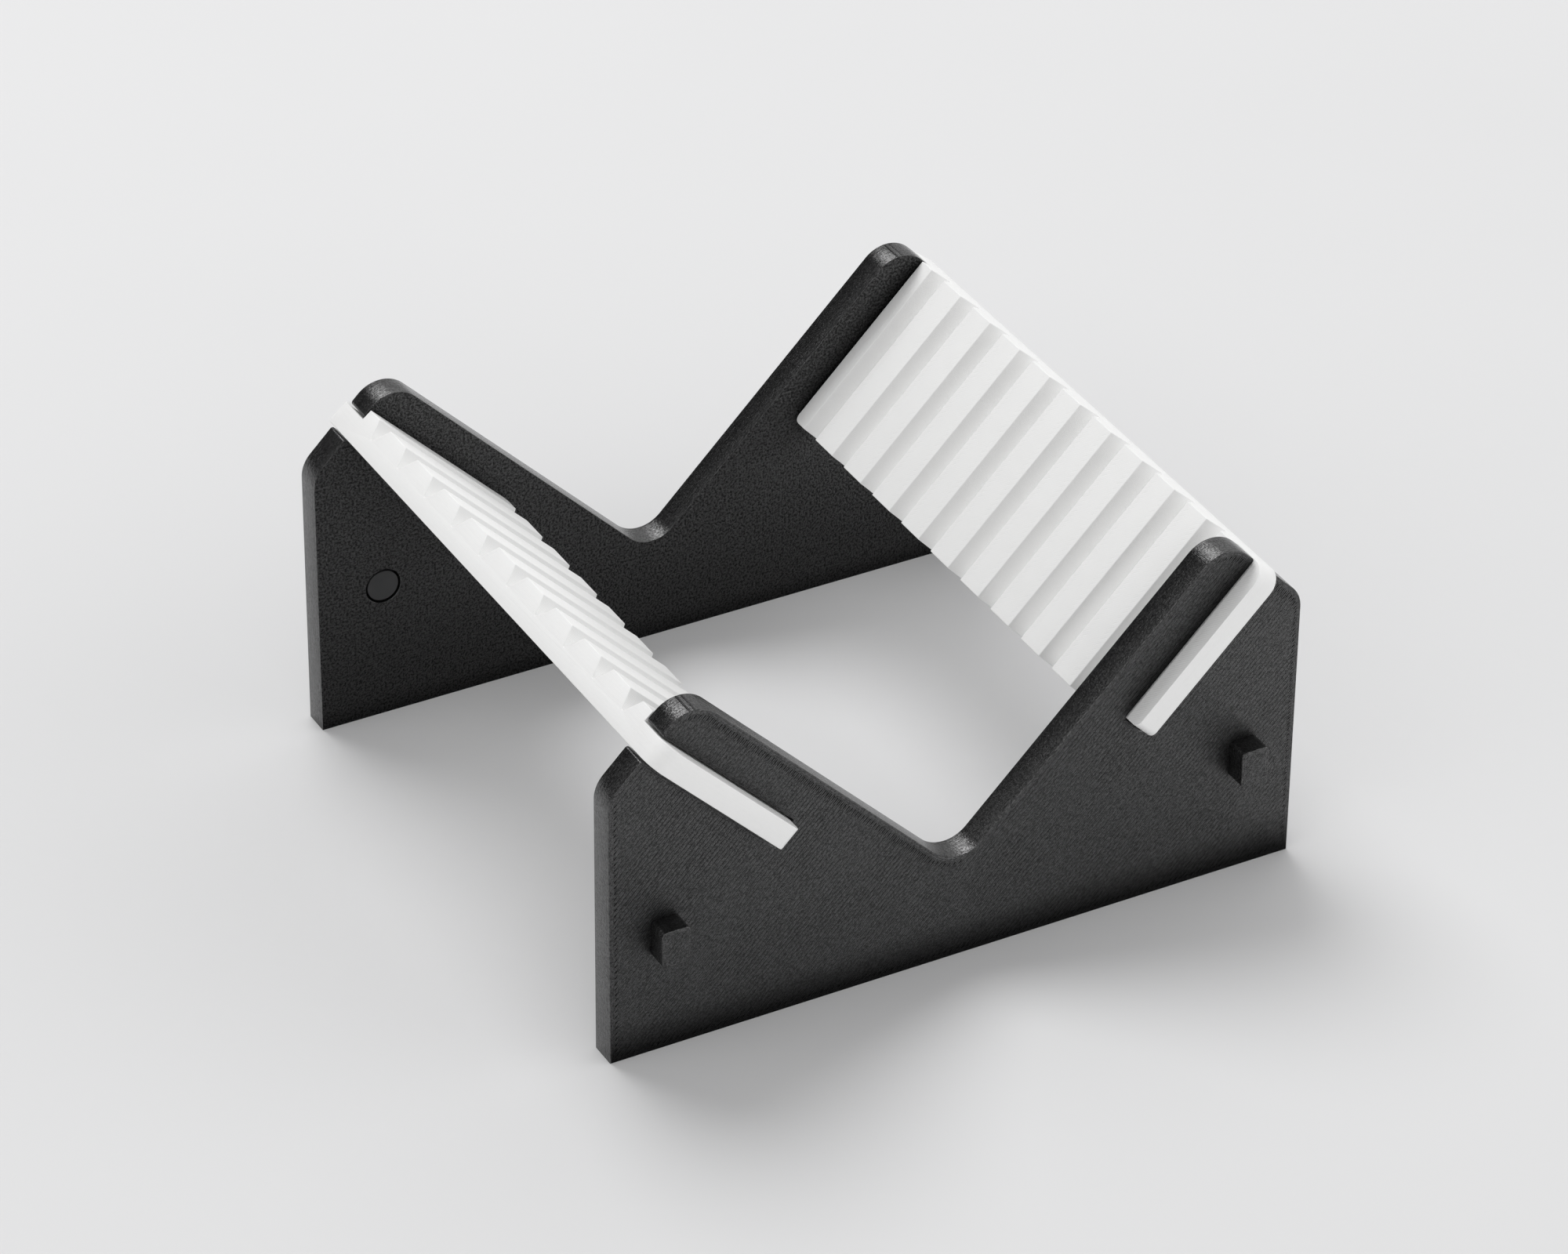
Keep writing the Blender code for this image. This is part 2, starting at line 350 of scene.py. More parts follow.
def finished(colour: Value | Sequence[float], rough: Value, relief: Socket | None,
             graph: Graph, material: bpy.types.Material, gloss: Value = 0.5) -> bpy.types.Material:
    """Close a material's tree with its shader.

    Args:
        colour: Base colour.
        rough: Roughness.
        relief: Normal of the relief, if there is one.
        graph: The tree under construction.
        material: The material that owns the tree.
        gloss: Strength of the reflection, 0.5 for plain plastic.

    Returns:
        The material.
    """
    shader = graph.add("ShaderNodeBsdfPrincipled")
    graph.feed(shader.inputs["Specular IOR Level"], gloss)
    if isinstance(colour, tuple):
        colour = (*colour, 1.0)
    graph.feed(shader.inputs["Base Color"], colour)
    graph.feed(shader.inputs["Roughness"], rough)
    if relief is not None:
        graph.feed(shader.inputs["Normal"], relief)
    output = graph.add("ShaderNodeOutputMaterial")
    graph.feed(output.inputs["Surface"], shader.outputs[0])
    log.debug("finish %s made", material.name)
    return material


def empty_material(name: str) -> tuple[bpy.types.Material, Graph]:
    """Return a new material with an empty tree.

    Args:
        name: Name of the material.

    Returns:
        The material and its tree.
    """
    material = bpy.data.materials.new(name)
    material.use_nodes = True
    return material, Graph(material.node_tree)


@dataclass(frozen=True)
class BlackPrint:
    """Black printed plastic with the relief of one kind of surface.

    Heights and reaches are in millimetres. A rough pair is the factor of the
    grain and the roughness it is added to. The painted shade side is a
    direction in the plate's own frame; where a neighbour stands close on that
    side, shade is painted into the top face's colour and reflection. Shade is
    also painted into the printed grooves, into the pebbles' hollows and
    towards the ground.
    """

    surface: Surface
    seam: Point | None = None
    colour: tuple[float, float, float] = (0.005, 0.005, 0.0052)
    dark: tuple[float, float, float] = (0.002, 0.002, 0.002)
    gloss: float = 0.80
    # Direction, reach and strength of the shade painted beside neighbours.
    painted_shade_side: tuple[float, float, float] = (0.40, -0.73, -0.55)
    painted_shade_reach: float = 9.0
    painted_shade_least: float = 0.05
    painted_shade_power: float = 1.4
    bed_painted_shade_reach: float = 5.0
    bed_painted_shade_least: float = 0.3
    line_height: float = 0.030
    groove_depth: float = 0.05
    groove_painted_shade: float = 0.7
    groove_rough: float = 0.15
    streak_height: float = 0.03
    streak_run: float = 0.05
    stroke_run: float = 0.15
    stroke_share: float = 0.3
    speckle_share: float = 0.7
    border_height: float = 0.045
    grain_height: float = 0.06
    layer_height: float = 0.006
    wander_height: float = 0.06
    fleck_height: float = 0.07
    pebble_height: float = 0.13
    pebble_grain: float = 0.08
    painted_hollow_floor: float = 0.25
    fine_least: float = 0.40
    bead_gap: float = 0.45
    bead_width: float = 0.22
    bead_height: float = 0.08
    bead_grain: float = 0.2
    bead_start: float = 1.2
    bead_full: float = 0.6

    TOP_ROUGH = (0.15, 0.28)
    WALL_ROUGH = (0.10, 0.15)
    BED_ROUGH = (0.15, 0.34)
    WALL_FACTORS = (0.22, 3.1, 0.22)
    INSIDE = Ramp(LINES.border - 0.05, LINES.border - 0.01)
    GROOVE = Ramp(0.0, 0.45, 1.0, 0.0)
    WORN_GROOVE = Ramp(0.38, 0.62, 0.45)
    TOP_SHADE = Ramp(0.38, 0.62, 0.43, 1.72)
    WALL_SHADE = Ramp(0.34, 0.68, 0.5, 1.6)
    PEAKS = Ramp(0.36, 0.64)
    PAINTED_GROUND_SHADE = Ramp(0.0, 40.0, 0.55, 1.15)
    PATCHES = Grain(0.07)
    STREAKS = Grain(2.6)
    STROKES = Grain(6.5, 1.0, 0.6)
    SPECKLE = Grain(5.0, 2.0, 0.75)
    WANDER = Grain(1.0, 3.0, 0.6)
    FLECK = Grain(2.6, 3.0, 0.7)
    PEBBLES = Grain(1.0 / LINES.pebble, 2.5, 0.6)
    FINE = Grain(5.0, 2.0, 0.6)

    def make(self) -> bpy.types.Material:
        """Return the material.

        Returns:
            The finished material.
        """
        material, graph = empty_material(f"black_{self.surface.value}")
        relief = {
            Surface.RASTER: self.raster,
            Surface.WALL: self.wall,
            Surface.BED: self.bed,
        }[self.surface]
        height, shade, rough = relief(graph)
        # The brightness carries painted shade as well as random mottle; it darkens both the colour and
        # the reflection.
        colour = graph.blend(shade, self.dark, self.colour)
        gloss = graph.times(shade, self.gloss)
        return finished(colour, rough, graph.bump(height), graph, material, gloss)

    def raster(self, graph: Graph) -> Relief:
        """Top face: slanted lines in pairs, and lines that follow the border.

        Args:
            graph: The tree under construction.

        Returns:
            Height in millimetres, brightness (1 for the plain colour) and roughness.
        """
        place, x, _, z = graph.millimetres()
        across = graph.times(graph.minus(x, z), DIAGONAL)
        along = graph.times(graph.plus(x, z), DIAGONAL)
        rim = graph.attribute("rim")
        inside = graph.steps(rim, self.INSIDE)
        line = graph.ridges(across, LINES.spacing)
        pair = graph.ridges(across, 2 * LINES.spacing)
        patches = graph.steps(graph.noise(place, self.PATCHES), self.WORN_GROOVE)
        groove = graph.times(graph.times(graph.steps(pair, self.GROOVE), patches), inside)
        border = graph.times(graph.ridges(rim, LINES.spacing), graph.minus(1.0, inside))
        streaks = graph.streaked(across, along, self.streak_run, self.STREAKS)
        strokes = graph.streaked(across, along, self.stroke_run, self.STROKES)
        speckle = graph.noise(place, self.SPECKLE)
        grain = graph.plus(graph.times(strokes, self.stroke_share),
                           graph.times(speckle, self.speckle_share))
        lines = graph.plus(graph.times(line, self.line_height),
                           graph.times(groove, -self.groove_depth),
                           graph.times(streaks, self.streak_height))
        height = graph.plus(graph.times(lines, inside), graph.times(border, self.border_height),
                            graph.times(grain, self.grain_height))
        mottle = graph.steps(grain, self.TOP_SHADE)
        # Painted shade: the grooves between paired lines are darker in colour and reflection; the mottle
        # is the plastic's random tone.
        shade = graph.times(mottle, graph.minus(1.0, graph.times(groove, self.groove_painted_shade)))
        # Painted shade: colour and reflection are darkened where a block or a bar's tongue stands close
        # on the painted shade side.
        painted_shade = graph.openness(Vector(self.painted_shade_side), self.painted_shade_reach, self.painted_shade_least)
        shade = graph.times(shade, graph.math("POWER", painted_shade, self.painted_shade_power))
        factor, plain = self.TOP_ROUGH
        rough = graph.plus(graph.times(grain, factor), graph.times(groove, self.groove_rough), plain)
        return height, shade, rough

    def wall(self, graph: Graph) -> Relief:
        """Side wall: thin layers stacked through the plate's thickness.

        Args:
            graph: The tree under construction.

        Returns:
            Height in millimetres, brightness (1 for the plain colour) and roughness.
        """
        place, x, y, z = graph.millimetres()
        layer = graph.ridges(y, LINES.layer)
        wander = graph.layered((x, y, z), self.WALL_FACTORS, self.WANDER)
        fleck = graph.noise(place, self.FLECK)
        height = graph.plus(graph.times(layer, self.layer_height),
                            graph.times(wander, self.wander_height),
                            graph.times(fleck, self.fleck_height))
        if self.seam is not None:
            height = graph.plus(height, self.beads(graph, x, z, fleck))
        shade = graph.steps(fleck, self.WALL_SHADE)
        return height, shade, graph.scaled(fleck, *self.WALL_ROUGH)

    def beads(self, graph: Graph, x: Socket, z: Socket, fleck: Socket) -> Socket:
        """Return two beads where the layers start and end, on one finger's tip.

        Args:
            graph: The tree under construction.
            x: Place across the plate.
            z: Place above the ground.
            fleck: Grain that roughens the beads.

        Returns:
            Their height in millimetres.
        """
        gap = graph.math("ABSOLUTE", graph.plus(x, self.seam[0]))
        side = graph.math("ABSOLUTE", graph.minus(gap, self.bead_gap))
        bead = graph.steps(side, Ramp(0.0, self.bead_width, 1.0, 0.0))
        high = graph.steps(z, Ramp(self.seam[1] - self.bead_start, self.seam[1] - self.bead_full))
        return graph.times(graph.times(bead, high),
                           graph.scaled(fleck, self.bead_grain, self.bead_height))

    def bed(self, graph: Graph) -> Relief:
        """Face that lay on a textured bed: small irregular pebbles, with shade painted into their
        hollows, towards the ground and beside close neighbours.

        Args:
            graph: The tree under construction.

        Returns:
            Height in millimetres, brightness (1 for the plain colour) and roughness.
        """
        place, _, _, z = graph.millimetres()
        peaks = graph.steps(graph.noise(place, self.PEBBLES), self.PEAKS)
        fine = graph.noise(place, self.FINE)
        height = graph.plus(graph.times(peaks, self.pebble_height), graph.times(fine, self.pebble_grain))
        # Painted shade: the pebbles' hollows are darker; the fine grain is a random tone.
        shade = graph.times(graph.plus(peaks, self.painted_hollow_floor), graph.plus(fine, self.fine_least))
        # Painted shade: darker towards the ground.
        shade = graph.times(shade, graph.steps(z, self.PAINTED_GROUND_SHADE))
        across, through, upward = self.painted_shade_side
        # Painted shade: darker where a neighbour, such as a bar, stands close on the mirrored side.
        painted_shade = graph.openness(Vector((-across, -through, upward)), self.bed_painted_shade_reach, self.bed_painted_shade_least)
        return height, graph.times(shade, painted_shade), graph.scaled(fine, *self.BED_ROUGH)


@dataclass(frozen=True)
class WhitePrint:
    """White printed plastic with the relief of one kind of surface.

    Heights are in millimetres. The pitch, the lands and the grooves are those
    of the bar, so that the marks lie where the bar's own edges are. A rough or
    shade pair is the factor of the grain and the value it is added to.
    """

    surface: Surface
    pitch: float
    half_land: float
    body_half: float
    groove_bottom: float
    groove_top: float
    colour: tuple[float, float, float] = (0.85, 0.85, 0.845)
    dark: tuple[float, float, float] = (0.74, 0.74, 0.735)
    tongue_stroke: float = 0.026
    land_smoothing: float = 0.022
    groove_depth: float = 0.012
    grain_height: float = 0.012
    wall_layer: float = 0.004
    wall_wander: float = 0.02
    slope_layer: float = 0.012
    pebble_height: float = 0.07
    pebble_grain: float = 0.015
    line_share: float = 0.5
    wander_run: float = 0.2
    wander_shade: float = 0.3
    fleck_shade: float = 0.2
    wall_shade: float = 0.75
    # Painted shade in the layers' creases and by the land, painted bounce light towards the groove's
    # bottom.
    layer_painted_shade: float = 0.12
    painted_top_shade: float = 0.2
    painted_bottom_light: float = 1.45

    LAND_ROUGH = (0.2, 0.38)
    WALL_ROUGH = (0.2, 0.34)
    SLOPE_ROUGH = (0.2, 0.42)
    BED_ROUGH = (0.2, 0.4)
    LAND_SHADE = (0.3, 0.82)
    BED_PAINTED_SHADE = (0.4, 0.6)
    WALL_FACTORS = (0.2, 0.2, 2.5)
    ROW_START = Ramp(0.35, 0.5)
    ROW_END = Ramp(1.2, 1.5, 1.0, 0.0)
    GROOVE = Ramp(0.0, 0.5, 1.0, 0.0)
    PEAKS = Ramp(0.36, 0.66)
    LAND_GRAIN = Grain(4.0, 2.0, 0.6)
    PATCHES = Grain(0.25)
    STREAKS = Grain(1.7)
    WANDER = Grain(1.0, 3.0, 0.6)
    WALL_FLECK = Grain(2.0, 3.0, 0.6)
    SLOPE_FLECK = Grain(2.4, 3.0, 0.6)
    PEBBLES = Grain(1.0 / LINES.pebble, 2.5, 0.55)
    FINE = Grain(4.5, 2.0, 0.6)

    def make(self) -> bpy.types.Material:
        """Return the material.

        Returns:
            The finished material.
        """
        material, graph = empty_material(f"white_{self.surface.value}")
        relief = {
            Surface.RASTER: self.raster,
            Surface.WALL: self.wall,
            Surface.SLOPE: self.slope,
            Surface.BED: self.bed,
        }[self.surface]
        height, shade, rough = relief(graph)
        # The brightness carries painted shade and bounce light on the groove walls and the pebbled back,
        # as well as random tone.
        colour = graph.blend(shade, self.dark, self.colour)
        return finished(colour, rough, graph.bump(height), graph, material)

    def raster(self, graph: Graph) -> Relief:
        """Lands and tongues: slanted lines that turn back along the lands' edges.

        Args:
            graph: The tree under construction.

        Returns:
            Height in millimetres, brightness (1 for the plain colour) and roughness.
        """
        place, x, y, _ = graph.millimetres()
        across = graph.times(graph.plus(x, y), DIAGONAL)
        line = graph.ridges(across, LINES.spacing)
        pair = graph.ridges(across, 2 * LINES.spacing)
        wrapped = graph.math("PINGPONG", y, self.pitch / 2)
        edge = graph.minus(self.half_land, wrapped)
        row = graph.times(graph.steps(edge, self.ROW_START), graph.steps(edge, self.ROW_END))
        body = graph.math("LESS_THAN", graph.math("ABSOLUTE", y), self.body_half)
        groove = graph.times(graph.steps(pair, self.GROOVE), graph.times(row, body))
        grain = graph.noise(place, self.LAND_GRAIN)
        patches = graph.noise(place, self.PATCHES)
        wander = graph.streaked(across, y, self.wander_run, self.STREAKS)
        strength = graph.scaled(body, -self.land_smoothing, self.tongue_stroke)
        stroke = graph.times(graph.plus(graph.times(line, self.line_share), wander), strength)
        height = graph.plus(stroke, graph.times(groove, -self.groove_depth),
                            graph.times(grain, self.grain_height))
        shade = graph.scaled(patches, *self.LAND_SHADE)
        return height, shade, graph.scaled(grain, *self.LAND_ROUGH)

    def wall(self, graph: Graph) -> Relief:
        """Edges and ends: thin layers stacked through the bar's thickness.

        Args:
            graph: The tree under construction.

        Returns:
            Height in millimetres, brightness (1 for the plain colour) and roughness.
        """
        place, x, y, z = graph.millimetres()
        layer = graph.ridges(z, LINES.layer)
        wander = graph.layered((x, y, z), self.WALL_FACTORS, self.WANDER)
        fleck = graph.noise(place, self.WALL_FLECK)
        height = graph.plus(graph.times(layer, self.wall_layer), graph.times(wander, self.wall_wander),
                            graph.times(fleck, self.grain_height))
        shade = graph.plus(graph.times(wander, self.wander_shade),
                           graph.times(fleck, self.fleck_shade), self.wall_shade)
        return height, shade, graph.scaled(fleck, *self.WALL_ROUGH)

    def slope(self, graph: Graph) -> Relief:
        """Groove walls: the layers show as fine steps along the groove, with shade painted into their
        creases, painted shade by the land and painted bounce light towards the bottom.

        Args:
            graph: The tree under construction.

        Returns:
            Height in millimetres, brightness (1 for the plain colour) and roughness.
        """
        place, _, _, z = graph.millimetres()
        layer = graph.ridges(z, LINES.layer)
        fleck = graph.noise(place, self.SLOPE_FLECK)
        height = graph.plus(graph.times(layer, self.slope_layer), graph.times(fleck, self.grain_height))
        # Painted light: darker by the land and lighter towards the groove's bottom.
        painted_depth_light = graph.steps(z, Ramp(self.groove_bottom, self.groove_top,
                                   self.painted_bottom_light, self.painted_top_shade))
        shade = graph.plus(graph.times(layer, self.layer_painted_shade),
                           graph.times(fleck, self.fleck_shade), painted_depth_light)
        return height, shade, graph.scaled(fleck, *self.SLOPE_ROUGH)

    def bed(self, graph: Graph) -> Relief:
        """Back face that lay on the textured bed, with shade painted into the pebbles' hollows.

        Args:
            graph: The tree under construction.

        Returns:
            Height in millimetres, brightness (1 for the plain colour) and roughness.
        """
        place, *_ = graph.millimetres()
        pebbles = graph.steps(graph.noise(place, self.PEBBLES), self.PEAKS)
        fine = graph.noise(place, self.FINE)
        height = graph.plus(graph.times(pebbles, self.pebble_height),
                            graph.times(fine, self.pebble_grain))
        # Painted shade: the pebbles' hollows are darker.
        shade = graph.scaled(pebbles, *self.BED_PAINTED_SHADE)
        return height, shade, graph.scaled(fine, *self.BED_ROUGH)


@dataclass(frozen=True)
class SmoothDisc:
    """Dark satin finish of the round inserts, a little worn."""

    colour: tuple[float, float, float] = (0.022, 0.022, 0.023)
    worn: tuple[float, float, float] = (0.030, 0.030, 0.031)
    grain_height: float = 0.006

    ROUGH = (0.15, 0.36)
    HAZE = Grain(0.9, 3.0, 0.6)
    FINE = Grain(6.0)

    def make(self) -> bpy.types.Material:
        """Return the material.

        Returns:
            The finished material.
        """
        material, graph = empty_material("dark_disc")
        place, *_ = graph.millimetres()
        haze = graph.noise(place, self.HAZE)
        fine = graph.noise(place, self.FINE)
        colour = graph.blend(haze, self.colour, self.worn)
        rough = graph.scaled(haze, *self.ROUGH)
        relief = graph.bump(graph.times(fine, self.grain_height))
        return finished(colour, rough, relief, graph, material)


@dataclass(frozen=True)
class PaleGround:
    """Matt pale ground under the rack."""

    colour: tuple[float, float, float] = (0.72, 0.72, 0.725)
    fleck: tuple[float, float, float] = (0.70, 0.70, 0.705)
    rough: float = 0.8

    CLOUD = Grain(0.01)

    def make(self) -> bpy.types.Material:
        """Return the material.

        Returns:
            The finished material.
        """
        material, graph = empty_material("pale_ground")
        place, *_ = graph.millimetres()
        cloud = graph.noise(place, self.CLOUD)
        colour = graph.blend(cloud, self.colour, self.fleck)
        return finished(colour, self.rough, None, graph, material)


@dataclass(frozen=True)
class Corner:
    """A corner of an outline, sharp or rounded."""

    x: float
    z: float
    radius: float = 0.0

    def mirrored(self) -> "Corner":
        """Return the corner on the other side of the middle."""
        return Corner(-self.x, self.z, self.radius)


@dataclass(frozen=True)
class Outline:
    """Closed outline with rounded corners, anticlockwise."""

    corners: tuple[Corner, ...]
    step: float = FINE_ARC

    LEAST_STEPS = 3

    def ring(self, inset: float = 0.0) -> list[Point]:
        """Return the outline's points, moved inwards.

        Args:
            inset: Distance from the true outline, in millimetres.

        Returns:
            The same number of points for every inset.
        """
        points: list[Point] = []
        count = len(self.corners)
        for index, corner in enumerate(self.corners):
            before = self.corners[index - 1]
            after = self.corners[(index + 1) % count]
            points.extend(self.turn(before, corner, after, inset))
        return points

    def turn(self, before: Corner, corner: Corner, after: Corner, inset: float) -> list[Point]:
        """Return the points of one corner.

        Args:
            before: Corner ahead of it.
            corner: The corner itself.
            after: Corner behind it.
            inset: Distance from the true outline.

        Returns:
            One point, or the points of an arc.
        """
        middle = Vector((corner.x, corner.z))
        arriving = (middle - Vector((before.x, before.z))).normalized()
        leaving = (Vector((after.x, after.z)) - middle).normalized()
        first = Vector((-arriving.y, arriving.x))
        second = Vector((-leaving.y, leaving.x))
        tip = middle + (first + second) * (inset / (1.0 + first.dot(second)))
        if corner.radius <= 0.0:
            return [tuple(tip)]
        angle = math.atan2(arriving.x * leaving.y - arriving.y * leaving.x, arriving.dot(leaving))
        convex = math.copysign(1.0, angle)
        radius = max(corner.radius - convex * inset, 0.0)
        centre = tip + (first + second) * (convex * radius / (1.0 + first.dot(second)))
        spoke = -first * convex * radius
        steps = max(self.LEAST_STEPS, math.ceil(abs(angle) / self.step))
        points = []
        for number in range(steps + 1):
            turned = spoke.copy()
            turned.rotate(Matrix.Rotation(angle * number / steps, 2))
            points.append(tuple(centre + turned))
        return points


def rectangle(centre: Point, width: float, height: float, radius: float) -> Outline:
    """Return a rectangle with rounded corners as an outline.

    Args:
        centre: Its middle.
        width: Size across.
        height: Size upwards.
        radius: Radius of the corners.

    Returns:
        The outline.
    """
    x, z = centre
    signs = ((-1, -1), (1, -1), (1, 1), (-1, 1))
    corners = (Corner(x + sx * width / 2, z + sz * height / 2, radius) for sx, sz in signs)
    return Outline(tuple(corners), COARSE_ARC)


def circle(centre: Point, radius: float, count: int = 72) -> list[Point]:
    """Return the points of a circle.

    Args:
        centre: Its middle.
        radius: Its radius.
        count: Number of points.

    Returns:
        The points, anticlockwise.
    """
    turns = (2 * math.pi * index / count for index in range(count))
    x, z = centre
    return [(x + radius * math.cos(turn), z + radius * math.sin(turn)) for turn in turns]


def rounding(radius: float, steps: int = 3) -> list[Point]:
    """Return (inset, depth) stations of a rounded rim, from the face to the wall."""
    turns = (math.pi / 2 * index / steps for index in range(steps + 1))
    return [(radius * (1 - math.sin(turn)), radius * (1 - math.cos(turn))) for turn in turns]


@dataclass
class Skin:
    """Vertices and faces of one piece, with a finish for each face."""

    verts: list[tuple[float, float, float]] = field(default_factory=list)
    rims: list[float] = field(default_factory=list)
    faces: list[tuple[int, ...]] = field(default_factory=list)
    slots: list[int] = field(default_factory=list)

    def ring(self, points: Iterable[Point], y: float, rim: float = 0.0) -> list[int]:
        """Add points of an outline at one depth.

        Args:
            points: The (x, z) points.
            y: Depth of the ring.
            rim: Distance from the outline, kept for the finish.

        Returns:
            Indices of the new vertices.
        """
        first = len(self.verts)
        for x, z in points:
            self.verts.append((x * MM, y * MM, z * MM))
            self.rims.append(rim)
        return list(range(first, len(self.verts)))

    def face(self, corners: Iterable[int], slot: int) -> None:
        """Add one face."""
        self.faces.append(tuple(corners))
        self.slots.append(slot)

    def walls(self, rings: Sequence[list[int]], slot: int) -> None:
        """Join each ring with the next one."""
        for first, second in zip(rings, rings[1:]):
            self.wall(first, second, slot)

    def wall(self, first: list[int], second: list[int], slot: int) -> None:
        """Join two rings with quads.

        Args:
            first: One ring.
            second: The other ring, of the same length.
            slot: Finish of the faces.
        """
        count = len(first)
        for index in range(count):
            after = (index + 1) % count
            self.face((first[index], first[after], second[after], second[index]), slot)

    def cover(self, outer: list[Point], holes: list[list[Point]], y: float, slot: int,
              rim: float = 0.0) -> None:
        """Fill a ring with triangles, leaving the holes open.

        Args:
            outer: Points of the ring.
            holes: Points of each hole.
            y: Depth of the face.
            slot: Finish of the face.
            rim: Distance from the outline, kept for the finish.
        """
        loops = [outer, *holes]
        points = [Vector(point) for loop in loops for point in loop]
        polygons, first = [], 0
        for loop in loops:
            polygons.append(list(range(first, first + len(loop))))
            first += len(loop)
        made, _, faces, _, _, sources = delaunay_2d_cdt(points, [], polygons, 1, WELD / MM, True)
        start = len(self.verts)
        for point in made:
            self.verts.append((point.x * MM, y * MM, point.y * MM))
            self.rims.append(rim)
        for face, source in zip(faces, sources):
            if source == [0]:
                self.face((start + index for index in face), slot)

    def piece(self, name: str, materials: Sequence[bpy.types.Material]) -> bpy.types.Object:
        """Return the finished object.

        Args:
            name: Name of the object.
            materials: One for each slot.

        Returns:
            The object, linked to the scene.
        """
        mesh = bpy.data.meshes.new(name)
        mesh.from_pydata(self.verts, [], self.faces)
        for material in materials:
            mesh.materials.append(material)
        for polygon, slot in zip(mesh.polygons, self.slots):
            polygon.material_index = slot
        rim = mesh.attributes.new("rim", "FLOAT", "POINT")
        rim.data.foreach_set("value", self.rims)
        tidy(mesh)
        return place(name, mesh)


def tidy(mesh: bpy.types.Mesh) -> None:
    """Weld a mesh, turn its faces outwards and shade it.

    Args:
        mesh: Mesh to clean.
    """
    work = bmesh.new()
    work.from_mesh(mesh)
    bmesh.ops.remove_doubles(work, verts=work.verts, dist=WELD)
    bmesh.ops.dissolve_degenerate(work, edges=work.edges, dist=WELD)
    bmesh.ops.recalc_face_normals(work, faces=work.faces)
    work.to_mesh(mesh)
    work.free()
    mesh.shade_smooth()
    mesh.set_sharp_from_angle(angle=SHARP_PLATE)


def place(name: str, data: bpy.types.ID) -> bpy.types.Object:
    """Return a new object, linked to the scene.

    Args:
        name: Name of the object.
        data: Its mesh, lamp or camera.

    Returns:
        The object.
    """
    made = bpy.data.objects.new(name, data)
    bpy.context.scene.collection.objects.link(made)
    return made


